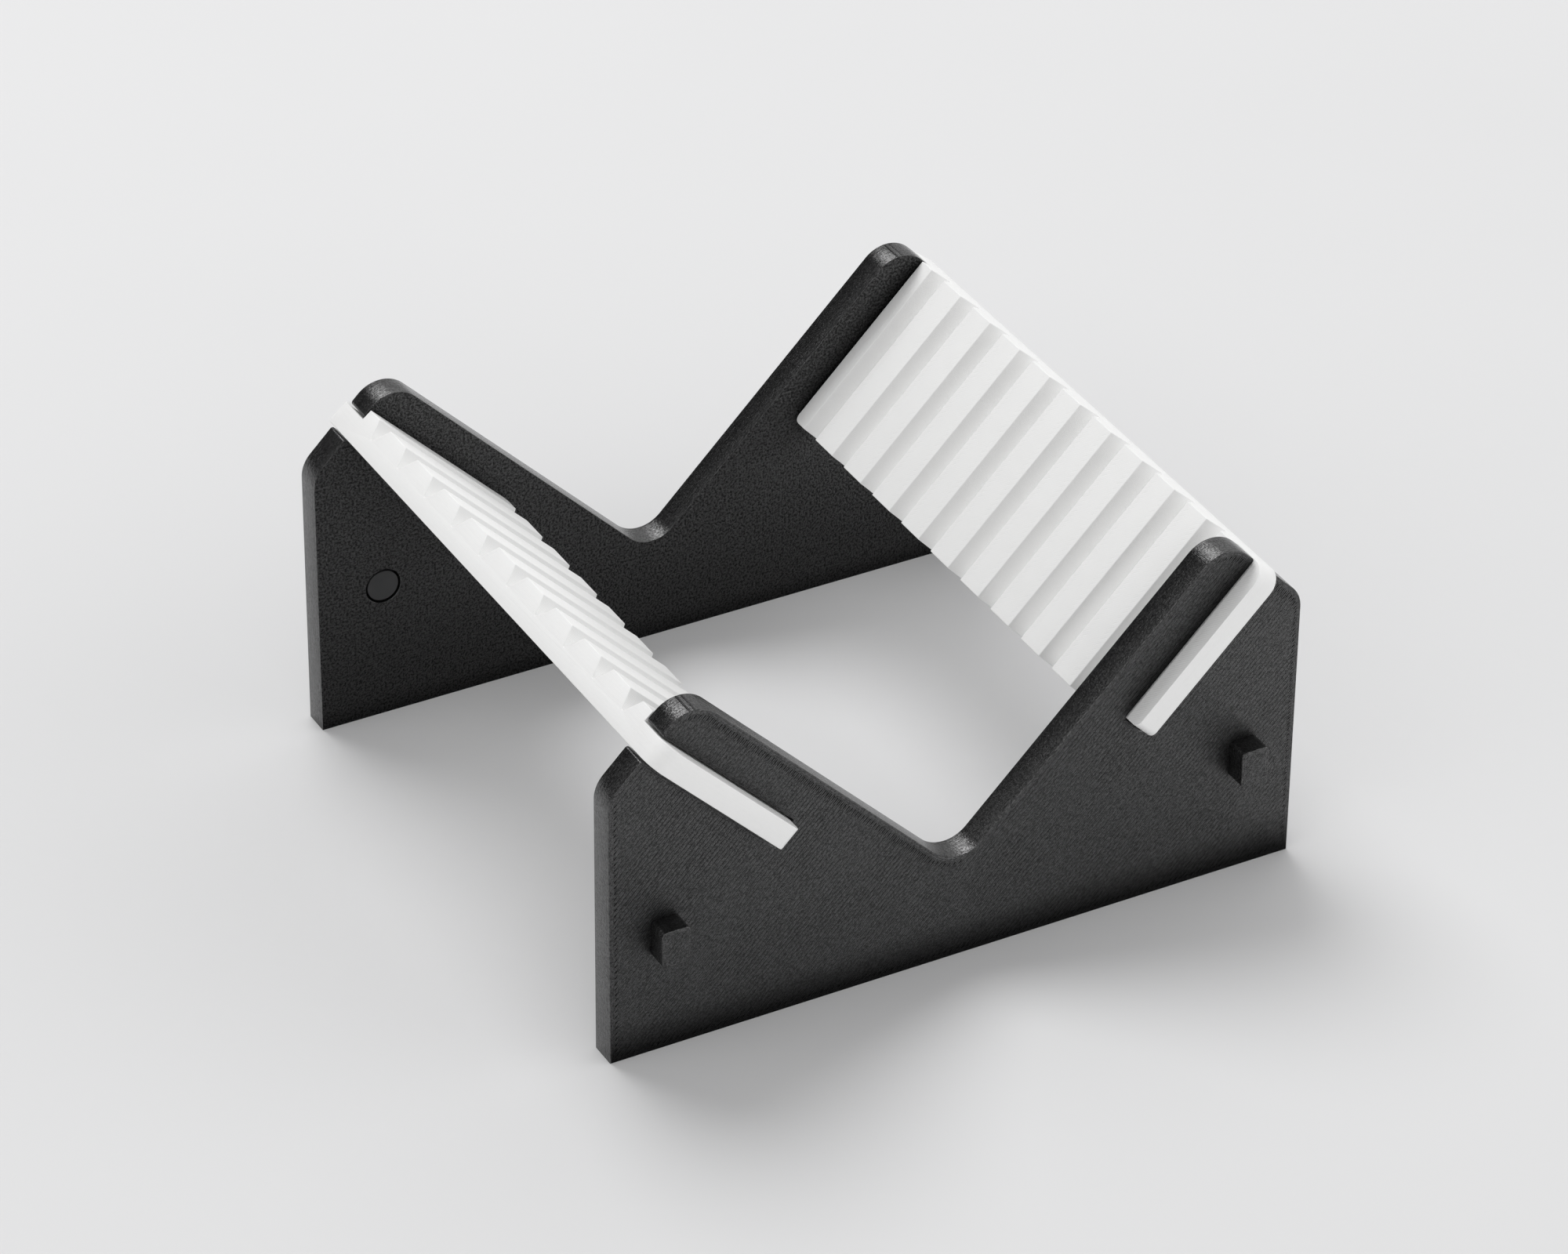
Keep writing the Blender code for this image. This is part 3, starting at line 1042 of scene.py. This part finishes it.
@dataclass
class EndPlate:
    """End plate with its V, slots, blocks, pockets and print marks.

    In its own frame the outer face looks along -Y and the middle is at y = 0.
    The pits are the gaps where the printed lines turn back at the border; the
    least line is counted in pit lengths, the steepest border in pit widths and
    the slot margin in border widths.
    """

    width: float
    thickness: float
    side_height: float = 50.0
    apex_height: float = 16.8
    corner_radius: float = 5.75
    lip_radius: float = 0.5
    finger_width: float = 7.6
    slot_width: float = 4.9
    slot_end_run: float = 34.82
    peg_width: float = 5.05
    peg_height: float = 6.8
    peg_reach: float = 4.0
    peg_radius: float = 0.9
    peg_inset: float = 9.7
    peg_middle: float = 21.85
    pocket_radius: float = 3.2
    pocket_depth: float = 2.5
    pocket_inset: float = 12.0
    pocket_middle: float = 25.3
    outer_rim: float = 0.13
    inner_rim: float = 0.06
    pocket_lip: float = 0.08
    pit_length: float = 1.35
    pit_slanted: float = 0.75
    pit_width: float = 0.18
    pit_depth: float = 0.14
    pit_start: float = 0.13
    least_line: float = 3.0
    steepest_border: float = 2.0
    slot_margin: float = 2.0

    GAP_SHAPE = ((0.0, 0.5), (0.55, 0.42), (1.0, 0.0), (0.55, -0.42), (0.0, -0.5))
    RASTER_SLOT = 0
    WALL_SLOT = 1
    BED_SLOT = 2

    def on_slope(self, run: float, depth: float, radius: float) -> Corner:
        """Return a corner at a run up the right slope and a depth below it."""
        return Corner((run + depth) * DIAGONAL, self.apex_height + (run - depth) * DIAGONAL, radius)

    def tip_x(self) -> float:
        """Return how far the tip, where slope and chamfer meet, is from the middle."""
        return (self.side_height + self.width / 2 - self.apex_height) / 2

    def outline(self) -> Outline:
        """Return the plate's outline.

        Returns:
            The outline, seen from outside.
        """
        half = self.width / 2
        tip_x = self.tip_x()
        tip_run = tip_x / DIAGONAL
        below = self.finger_width + self.slot_width
        right = [
            Corner(half, 0.0),
            Corner(half, self.side_height, self.corner_radius),
            self.on_slope(tip_run, below, self.lip_radius),
            self.on_slope(self.slot_end_run, below, self.lip_radius),
            self.on_slope(self.slot_end_run, self.finger_width, self.lip_radius),
            self.on_slope(tip_run, self.finger_width, self.lip_radius),
            Corner(tip_x, self.apex_height + tip_x, self.corner_radius),
        ]
        left = [corner.mirrored() for corner in reversed(right)]
        return Outline((*right, Corner(0.0, self.apex_height, self.corner_radius), *left))

    def crossings(self, ring: list[Point], across: float) -> list[float]:
        """Return where one raster line crosses a ring.

        Args:
            ring: Points of the ring.
            across: Place of the line, measured square to its direction.

        Returns:
            Sorted places along the line, with flat crossings left out as pairs.
        """
        turned = [((x - z) * DIAGONAL, (x + z) * DIAGONAL) for x, z in ring]
        places = []
        for (a0, b0), (a1, b1) in zip(turned, turned[1:] + turned[:1]):
            if (a0 - across) * (a1 - across) < 0.0:
                share = (across - a0) / (a1 - a0)
                places.append(b0 + share * (b1 - b0))
        return sorted(places)

    def pits(self, ring: list[Point]) -> list[list[Point]]:
        """Return the gaps where the raster lines turn back at the border.

        Args:
            ring: Inner edge of the border lines.

        Returns:
            Outlines of the gaps.
        """
        reach = int(self.width / LINES.spacing)
        gaps = []
        for number in range(-reach, reach):
            across = number * LINES.spacing
            places = self.crossings(ring, across)
            beside = self.crossings(ring, across + self.pit_width)
            if len(places) != len(beside):
                continue
            stretches = zip(places[::2], places[1::2], beside[::2], beside[1::2])
            for start, end, start_beside, end_beside in stretches:
                if end - start < self.least_line * self.pit_length:
                    continue
                if number % 2 == 0:
                    origin, sense, slant = start, 1.0, start_beside - start
                else:
                    origin, sense, slant = end, -1.0, end_beside - end
                steep = abs(slant) > self.steepest_border * self.pit_width
                if steep or self.beside_slot(across, origin):
                    continue
                squareness = 1.0 - min(1.0, abs(slant) / self.pit_width)
                run = self.pit_slanted + (self.pit_length - self.pit_slanted) * squareness
                gaps.append(self.gap(across, origin + sense * self.pit_start, sense * run))
        return gaps

    def beside_slot(self, across: float, along: float) -> bool:
        """Tell whether a place on a raster line lies at the edge of a slot.

        Args:
            across: Place of the line, measured square to its direction.
            along: Place on the line.

        Returns:
            True beside a slot.
        """
        x = (across + along) * DIAGONAL
        z = (along - across) * DIAGONAL
        depth = (self.apex_height + abs(x) - z) * DIAGONAL
        run = (abs(x) + z - self.apex_height) * DIAGONAL
        near = self.slot_margin * LINES.border
        beyond = self.finger_width + self.slot_width + near
        return run > self.slot_end_run - near and self.finger_width - near < depth < beyond

    def gap(self, across: float, along: float, reach: float) -> list[Point]:
        """Return the outline of one gap, widest at its start and pointed at its end.

        Args:
            across: Place of its line, measured square to the line's direction.
            along: Place of its start on the line.
            reach: Length along the line, negative when it runs backwards.

        Returns:
            The points, anticlockwise.
        """
        points = []
        for run, share in self.GAP_SHAPE:
            a = across + share * self.pit_width
            b = along + run * reach
            points.append(((a + b) * DIAGONAL, (b - a) * DIAGONAL))
        return points if reach > 0.0 else points[::-1]

    def skin(self) -> Skin:
        """Return the whole plate's skin.

        Returns:
            Rim, walls, both faces, blocks and pockets.
        """
        skin = Skin()
        outline = self.outline()
        outer, inner = -self.thickness / 2, self.thickness / 2
        stations = [(inset, outer + depth) for inset, depth in rounding(self.outer_rim)]
        stations += [(inset, inner - depth) for inset, depth in reversed(rounding(self.inner_rim))]
        skin.walls([skin.ring(outline.ring(inset), y) for inset, y in stations], self.WALL_SLOT)
        self.add_outer_face(skin, outline, outer)
        self.add_inner_face(skin, outline, inner)
        return skin

    def add_outer_face(self, skin: Skin, outline: Outline, y: float) -> None:
        """Add the border lines, the raster face, its gaps and the two blocks.

        Args:
            skin: The skin under construction.
            outline: The plate's outline.
            y: Depth of the face.
        """
        rim_ring = skin.ring(outline.ring(self.outer_rim), y, self.outer_rim)
        border = outline.ring(LINES.border)
        border_ring = skin.ring(border, y, LINES.border)
        skin.wall(rim_ring, border_ring, self.RASTER_SLOT)
        holes = self.pits(border)
        for hole in holes:
            top = skin.ring(hole, y, LINES.border)
            bottom = skin.ring(hole, y + self.pit_depth, LINES.border)
            skin.wall(top, bottom, self.WALL_SLOT)
            skin.face(bottom, self.WALL_SLOT)
        for sign in (-1, 1):
            peg = rectangle((sign * (self.width / 2 - self.peg_inset), self.peg_middle),
                            self.peg_width, self.peg_height, self.peg_radius)
            holes.append(peg.ring())
            self.add_peg(skin, peg, y)
        skin.cover(border, holes, y, self.RASTER_SLOT, LINES.border)

    def add_peg(self, skin: Skin, peg: Outline, y: float) -> None:
        """Add one block that stands on the outer face.

        Args:
            skin: The skin under construction.
            peg: The block's outline.
            y: Depth of the face.
        """
        head = y - self.peg_reach
        rings = [skin.ring(peg.ring(), y, LINES.border)]
        rings += [skin.ring(peg.ring(inset), head + depth, self.outer_rim)
                  for inset, depth in reversed(rounding(self.outer_rim))]
        skin.walls(rings, self.WALL_SLOT)
        edge = skin.ring(peg.ring(self.outer_rim), head, self.outer_rim)
        inner = skin.ring(peg.ring(LINES.border), head, LINES.border)
        skin.wall(edge, inner, self.RASTER_SLOT)
        skin.face(inner, self.RASTER_SLOT)

    def add_inner_face(self, skin: Skin, outline: Outline, y: float) -> None:
        """Add the pebbled face and its two round pockets.

        Args:
            skin: The skin under construction.
            outline: The plate's outline.
            y: Depth of the face.
        """
        holes = []
        for sign in (-1, 1):
            middle = (sign * (self.width / 2 - self.pocket_inset), self.pocket_middle)
            rim = circle(middle, self.pocket_radius + self.pocket_lip)
            holes.append(rim)
            rings = [skin.ring(rim, y)]
            for depth in (self.pocket_lip, self.pocket_depth):
                rings.append(skin.ring(circle(middle, self.pocket_radius), y - depth))
            skin.walls(rings, self.WALL_SLOT)
            skin.face(rings[-1], self.WALL_SLOT)
        skin.cover(outline.ring(self.inner_rim), holes, y, self.BED_SLOT)

    def build(self, name: str, node: str, turn: Side, shift: float) -> bpy.types.Object:
        """Model one plate and place it.

        Args:
            name: Name of the piece.
            node: Solid that it stands for.
            turn: Which end of the rack it is.
            shift: Distance of its middle from the rack's middle.

        Returns:
            The piece.
        """
        tip_x = self.tip_x()
        tip_z = self.apex_height + tip_x
        seam = (tip_x, tip_z - self.corner_radius * (math.sqrt(2.0) - 1.0))
        finishes = [BlackPrint(Surface.RASTER), BlackPrint(Surface.WALL, seam=seam),
                    BlackPrint(Surface.BED)]
        piece = self.skin().piece(name, [finish.make() for finish in finishes])
        turned = Matrix.Rotation(turn.value, 4, "Z")
        piece.matrix_world = turned @ Matrix.Translation((0, -shift * MM, 0))
        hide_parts(node)
        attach(piece, "root")
        return piece


@dataclass
class NotchedBar:
    """Bar with a row of V grooves and a flat tongue at each end.

    In its own frame x grows towards the outer edge, y runs along the bar and
    z goes from the back face to the grooved face. A face counts as level,
    slanted or square by the parts of its normal.
    """

    length: float
    width: float = 34.8
    thickness: float = 6.2
    body_length: float = 99.8
    tongue_thickness: float = 4.2
    tongue_inset: float = 2.4
    tongue_outer_radius: float = 3.3
    tongue_lower_radius: float = 1.25
    lower_radius: float = 1.25
    groove_count: int = 10
    pitch: float = 9.9
    mouth: float = 4.1
    depth: float = 3.3
    bottom_radius: float = 0.35
    edge_radius: float = 0.14
    overrun: float = 2.0
    outer_lean: float = 0.65
    edge_setback: float = 0.1

    SURFACES = (Surface.RASTER, Surface.WALL, Surface.BED, Surface.SLOPE)
    LEVEL = 0.95
    SLANTED = 0.2
    SQUARE = 0.1
    ROUNDS = 20
    FLAT_ANGLE = math.radians(0.5)
    EDGE_ANGLE = math.radians(25.0)
    EDGE_SEGMENTS = 3

    def half_angle(self) -> float:
        """Return the groove's half angle, from its mouth, depth and bottom.

        Returns:
            The angle in radians, found by repeated rounds.
        """
        angle = math.atan(self.mouth / 2 / self.depth)
        for _ in range(self.ROUNDS):
            apex = self.depth + self.bottom_radius * (1 / math.sin(angle) - 1)
            angle = math.atan(self.mouth / 2 / apex)
        return angle

    def side_view(self) -> Outline:
        """Return the outline seen along the width.

        Returns:
            The outline of (y, z) corners.
        """
        body, total = self.body_length / 2, self.length / 2 + self.overrun
        apex = self.mouth / 2 / math.tan(self.half_angle())
        top = self.thickness
        corners = [
            Corner(total, 0.0),
            Corner(total, self.tongue_thickness),
            Corner(body, self.tongue_thickness),
            Corner(body, top),
        ]
        for index in reversed(range(self.groove_count)):
            middle = self.pitch * (index - (self.groove_count - 1) / 2)
            corners += [
                Corner(middle + self.mouth / 2, top),
                Corner(middle, top - apex, self.bottom_radius),
                Corner(middle - self.mouth / 2, top),
            ]
        corners += [
            Corner(-body, top),
            Corner(-body, self.tongue_thickness),
            Corner(-total, self.tongue_thickness),
            Corner(-total, 0.0),
        ]
        return Outline(tuple(corners), COARSE_ARC)

    def plan(self) -> Outline:
        """Return the outline seen from above.

        Returns:
            The outline of (x, y) corners.
        """
        body, total = self.body_length / 2, self.length / 2
        outer, lower = self.width / 2, -self.width / 2
        tongue = lower + self.tongue_inset
        half = [
            (outer, total, self.tongue_outer_radius),
            (tongue, total, self.tongue_lower_radius),
            (tongue, body, 0.0),
            (lower, body, self.lower_radius),
        ]
        corners = [Corner(x, y, radius) for x, y, radius in half]
        corners += [Corner(x, -y, radius) for x, y, radius in reversed(half)]
        return Outline(tuple(corners), PLAN_ARC)

    @staticmethod
    def prism(name: str, rings: Sequence[list[Vector]]) -> bpy.types.Object:
        """Return a closed prism.

        Args:
            name: Name of the object.
            rings: The two rings of points that it joins, in millimetres.

        Returns:
            The object.
        """
        count = len(rings[0])
        verts = [point * MM for ring in rings for point in ring]
        faces = [(i, (i + 1) % count, count + (i + 1) % count, count + i) for i in range(count)]
        faces += [tuple(range(count)), tuple(range(count, 2 * count))]
        mesh = bpy.data.meshes.new(name)
        mesh.from_pydata(verts, [], faces)
        work = bmesh.new()
        work.from_mesh(mesh)
        bmesh.ops.recalc_face_normals(work, faces=work.faces)
        work.to_mesh(mesh)
        work.free()
        return place(name, mesh)

    def leaning(self, x: float, y: float, z: float) -> Vector:
        """Return a point of the plan; the outer edge leans outwards towards the back."""
        reach = self.outer_lean * (1.0 - z / self.thickness) if x > 0.0 else 0.0
        return Vector((x + reach, y, z))

    def trimmed(self) -> bpy.types.Mesh:
        """Return the side view cut to the plan.

        Returns:
            The bar's mesh with sharp edges.
        """
        reach = self.width / 2 + self.overrun
        side = self.side_view().ring()
        plan = self.plan().ring()
        sides = [[Vector((x, y, z)) for y, z in side] for x in (-reach, reach)]
        blank = self.prism("bar_blank", sides)
        levels = (-self.overrun, self.thickness + self.overrun)
        trimmer = self.prism("bar_trimmer", [[self.leaning(x, y, z) for x, y in plan] for z in levels])
        cut = blank.modifiers.new("trim", "BOOLEAN")
        cut.operation = "INTERSECT"
        cut.solver = "EXACT"
        cut.object = trimmer
        whole = baked(blank, "notched_bar")
        work = bmesh.new()
        work.from_mesh(whole)
        bmesh.ops.remove_doubles(work, verts=work.verts, dist=WELD)
        bmesh.ops.dissolve_limit(work, angle_limit=self.FLAT_ANGLE, verts=work.verts, edges=work.edges)
        work.to_mesh(whole)
        work.free()
        for spare in (blank, trimmer):
            bpy.data.objects.remove(spare, do_unlink=True)
        return whole

    def mesh(self) -> bpy.types.Mesh:
        """Return the bar's mesh, its edges eased.

        Returns:
            The mesh.
        """
        rounded = place("bar_rounding", self.trimmed())
        ease = rounded.modifiers.new("ease_edges", "BEVEL")
        ease.width = self.edge_radius * MM
        ease.segments = self.EDGE_SEGMENTS
        ease.limit_method = "ANGLE"
        ease.angle_limit = self.EDGE_ANGLE
        ease.use_clamp_overlap = False
        eased = baked(rounded, "notched_bar")
        bpy.data.objects.remove(rounded, do_unlink=True)
        return eased

    def surface_of(self, face: bpy.types.MeshPolygon) -> Surface:
        """Return the kind of a face, from the way it looks.

        Args:
            face: Face of the bar's mesh.

        Returns:
            The kind of surface that it has.
        """
        normal = face.normal
        if normal.z > self.LEVEL:
            return Surface.RASTER
        if normal.z < -self.LEVEL:
            return Surface.BED
        across = normal.z > self.SLANTED and abs(normal.x) < self.SQUARE
        if across and face.center.z < self.thickness * MM:
            return Surface.SLOPE
        return Surface.WALL

    def seat(self, plate: EndPlate) -> Vector:
        """Return where the bar's own origin sits on the right-hand side.

        Args:
            plate: The plate that holds the bar's tongues.

        Returns:
            The place in millimetres.
        """
        play = (plate.slot_width - self.tongue_thickness) / 2
        back_depth = plate.finger_width + play + self.tongue_thickness
        outer_run = plate.tip_x() / DIAGONAL - self.edge_setback
        middle_run = outer_run - self.width / 2
        return Vector(((middle_run + back_depth) * DIAGONAL, 0.0,
                       plate.apex_height + (middle_run - back_depth) * DIAGONAL))

    def build(self, name: str, node: str, turn: Side, seat: Vector) -> bpy.types.Object:
        """Model one bar and place it.

        Args:
            name: Name of the piece.
            node: Solid that it stands for.
            turn: Which side of the rack it is on.
            seat: Place of the bar's own origin on the right-hand side.

        Returns:
            The piece.
        """
        mesh = self.mesh()
        for surface in self.SURFACES:
            finish = WhitePrint(surface, pitch=self.pitch, half_land=(self.pitch - self.mouth) / 2,
                                body_half=self.body_length / 2,
                                groove_bottom=self.thickness - self.depth,
                                groove_top=self.thickness)
            mesh.materials.append(finish.make())
        for face in mesh.polygons:
            face.material_index = self.SURFACES.index(self.surface_of(face))
        mesh.shade_smooth()
        mesh.set_sharp_from_angle(angle=SHARP_BAR)
        piece = place(name, mesh)
        slope = Matrix.Rotation(math.radians(-45.0), 4, "Y")
        turned = Matrix.Rotation(turn.value, 4, "Z")
        piece.matrix_world = turned @ Matrix.Translation(seat * MM) @ slope
        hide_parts(node)
        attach(piece, "root")
        return piece


def baked(source: bpy.types.Object, name: str) -> bpy.types.Mesh:
    """Return an object's mesh with its modifiers applied.

    Args:
        source: The object.
        name: Name of the new mesh.

    Returns:
        The mesh.
    """
    graph = bpy.context.evaluated_depsgraph_get()
    mesh = bpy.data.meshes.new_from_object(source.evaluated_get(graph))
    mesh.name = name
    return mesh


@dataclass
class RoundInsert:
    """Flat disc in a pocket, with an eased rim."""

    radius: float = 2.85
    rim: float = 0.2

    ONLY_SLOT = 0

    def build(self, name: str, node: str) -> bpy.types.Object:
        """Model one disc over its solid.

        Args:
            name: Name of the piece.
            node: Solid that it stands for.

        Returns:
            The piece.
        """
        low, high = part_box(node)
        middle = (low + high) / 2
        half = (high.y - low.y) / 2 / MM
        skin = Skin()
        stations = [(inset, -half + depth) for inset, depth in rounding(self.rim)]
        stations += [(inset, half - depth) for inset, depth in reversed(rounding(self.rim))]
        rings = [skin.ring(circle((0.0, 0.0), self.radius - inset), y) for inset, y in stations]
        skin.walls(rings, self.ONLY_SLOT)
        skin.face(rings[0], self.ONLY_SLOT)
        skin.face(rings[-1], self.ONLY_SLOT)
        piece = skin.piece(name, [SmoothDisc().make()])
        piece.location = middle
        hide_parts(node)
        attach(piece, "root")
        return piece


@dataclass(frozen=True)
class Camera:
    """Camera of the photograph, in the rack's frame."""

    place: tuple[float, float, float] = (-0.44759, -0.80924, 0.63918)
    yaw: float = 28.853
    pitch: float = 33.34
    roll: float = 0.542
    lens: float = 154.85
    sensor: float = 36.0
    nearest: float = 0.05
    farthest: float = 30.0

    def build(self) -> None:
        """Make the scene's camera."""
        yaw, pitch, roll = (math.radians(angle) for angle in (self.yaw, self.pitch, self.roll))
        ahead = math.cos(pitch)
        forward = Vector((math.sin(yaw) * ahead, math.cos(yaw) * ahead, -math.sin(pitch)))
        level = Vector((math.cos(yaw), -math.sin(yaw), 0.0))
        upward = level.cross(forward)
        right = level * math.cos(roll) + upward * math.sin(roll)
        upright = upward * math.cos(roll) - level * math.sin(roll)
        data = bpy.data.cameras.new("photo_camera")
        data.sensor_fit = "HORIZONTAL"
        data.sensor_width = self.sensor
        data.lens = self.lens
        data.clip_start = self.nearest
        data.clip_end = self.farthest
        camera = place("photo_camera", data)
        camera.matrix_world = (Matrix.Translation(self.place)
                               @ Matrix((right, upright, -forward)).transposed().to_4x4())
        bpy.context.scene.camera = camera


@dataclass(frozen=True)
class Glow:
    """Soft round patch of light in the surroundings.

    The azimuth is measured from +X towards +Y, both angles in degrees.
    """

    azimuth: float
    elevation: float
    strength: float

    def towards(self) -> Vector:
        """Return the direction of the patch.

        Returns:
            A vector of length 1.
        """
        azimuth, elevation = math.radians(self.azimuth), math.radians(self.elevation)
        level = math.cos(elevation)
        return Vector((level * math.cos(azimuth), level * math.sin(azimuth), math.sin(elevation)))


@dataclass(frozen=True)
class Studio:
    """Ground, key light and the glow of the surroundings, in metres and watts.

    The low glows light the plates' outer faces and the bars' ends, the high
    ones fill the slopes. The sharpness says how fast each fades around it.
    """

    ground_radius: float = 6.0
    ground_corners: int = 64
    key: Glow = Glow(94.0, 58.0, 50.0)
    key_distance: float = 3.0
    key_size: float = 1.9
    sharpness: float = 9.0
    glows: tuple[Glow, ...] = (
        Glow(0.0, 12.0, 1.2),
        Glow(-36.0, 12.0, 2.5),
        Glow(-72.0, 12.0, 1.08),
        Glow(-108.0, 12.0, 0.4),
        Glow(50.0, 36.0, 1.6),
        Glow(180.0, 38.0, 1.65),
        Glow(-135.0, 38.0, 1.3),
    )

    def build(self) -> None:
        """Make the ground, the key light and the world."""
        work = bmesh.new()
        bmesh.ops.create_circle(work, cap_ends=True, segments=self.ground_corners,
                                radius=self.ground_radius)
        mesh = bpy.data.meshes.new("ground")
        work.to_mesh(mesh)
        work.free()
        mesh.materials.append(PaleGround().make())
        place("ground", mesh)
        self.build_key()
        self.build_world()

    def build_key(self) -> None:
        """Hang a round softbox that looks at the rack."""
        data = bpy.data.lights.new("key_softbox", "AREA")
        data.shape = "DISK"
        data.size = self.key_size
        data.energy = self.key.strength
        lamp = place("key_softbox", data)
        lamp.location = self.key.towards() * self.key_distance
        lamp.rotation_mode = "QUATERNION"
        lamp.rotation_quaternion = self.key.towards().to_track_quat("Z", "Y")

    def build_world(self) -> None:
        """Add up the soft patches of light."""
        world = bpy.data.worlds.new("studio_light")
        world.use_nodes = True
        bpy.context.scene.world = world
        graph = Graph(world.node_tree)
        view = graph.add("ShaderNodeTexCoord").outputs["Generated"]
        level = graph.plus(*(self.patch(graph, view, glow) for glow in self.glows))
        light = graph.add("ShaderNodeBackground")
        graph.feed(light.inputs["Strength"], level)
        output = graph.add("ShaderNodeOutputWorld")
        graph.feed(output.inputs["Surface"], light.outputs[0])

    def patch(self, graph: Graph, view: Socket, glow: Glow) -> Socket:
        """Return one patch: strongest in its direction, fading smoothly around it.

        Args:
            graph: The world's tree.
            view: Direction that is looked at.
            glow: The patch.

        Returns:
            Its brightness.
        """
        facing = graph.add("ShaderNodeVectorMath", operation="DOT_PRODUCT")
        graph.feed(facing.inputs[0], view)
        facing.inputs[1].default_value = glow.towards()
        fade = graph.times(graph.minus(facing.outputs["Value"], 1.0), self.sharpness)
        return graph.times(graph.math("EXPONENT", fade), glow.strength)


def report(piece: bpy.types.Object) -> None:
    """Write one line about a finished piece."""
    log.info("%s: %d faces", piece.name, len(piece.data.polygons))


def main() -> None:
    """Build the rack's look around the fixed frame."""
    logging.basicConfig(level=logging.INFO, format="%(name)s: %(message)s", stream=sys.stdout)
    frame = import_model()
    log.info("frame: %d nodes", len(frame["nodes"]))

    low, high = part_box("front_end_plate")
    thickness = (high.y - low.y) / MM - EndPlate.peg_reach
    plate = EndPlate(width=(high.x - low.x) / MM, thickness=thickness)
    shift = -(high.y / MM - thickness / 2)
    for side, turn in (("front", Side.FIRST), ("back", Side.SECOND)):
        report(plate.build(f"{side}_plate", f"{side}_end_plate", turn, shift))

    low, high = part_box("right_notched_bar")
    bar = NotchedBar(length=(high.y - low.y) / MM)
    seat = bar.seat(plate)
    for hand, turn in (("right", Side.FIRST), ("left", Side.SECOND)):
        report(bar.build(f"{hand}_bar", f"{hand}_notched_bar", turn, seat))

    insert = RoundInsert()
    for side in ("front", "back"):
        for hand in ("left", "right"):
            report(insert.build(f"{side}_{hand}_disc", f"{side}_{hand}_round_insert"))

    Studio().build()
    Camera().build()
    bpy.context.scene.view_settings.view_transform = "Standard"


if __name__ == "__main__":
    main()
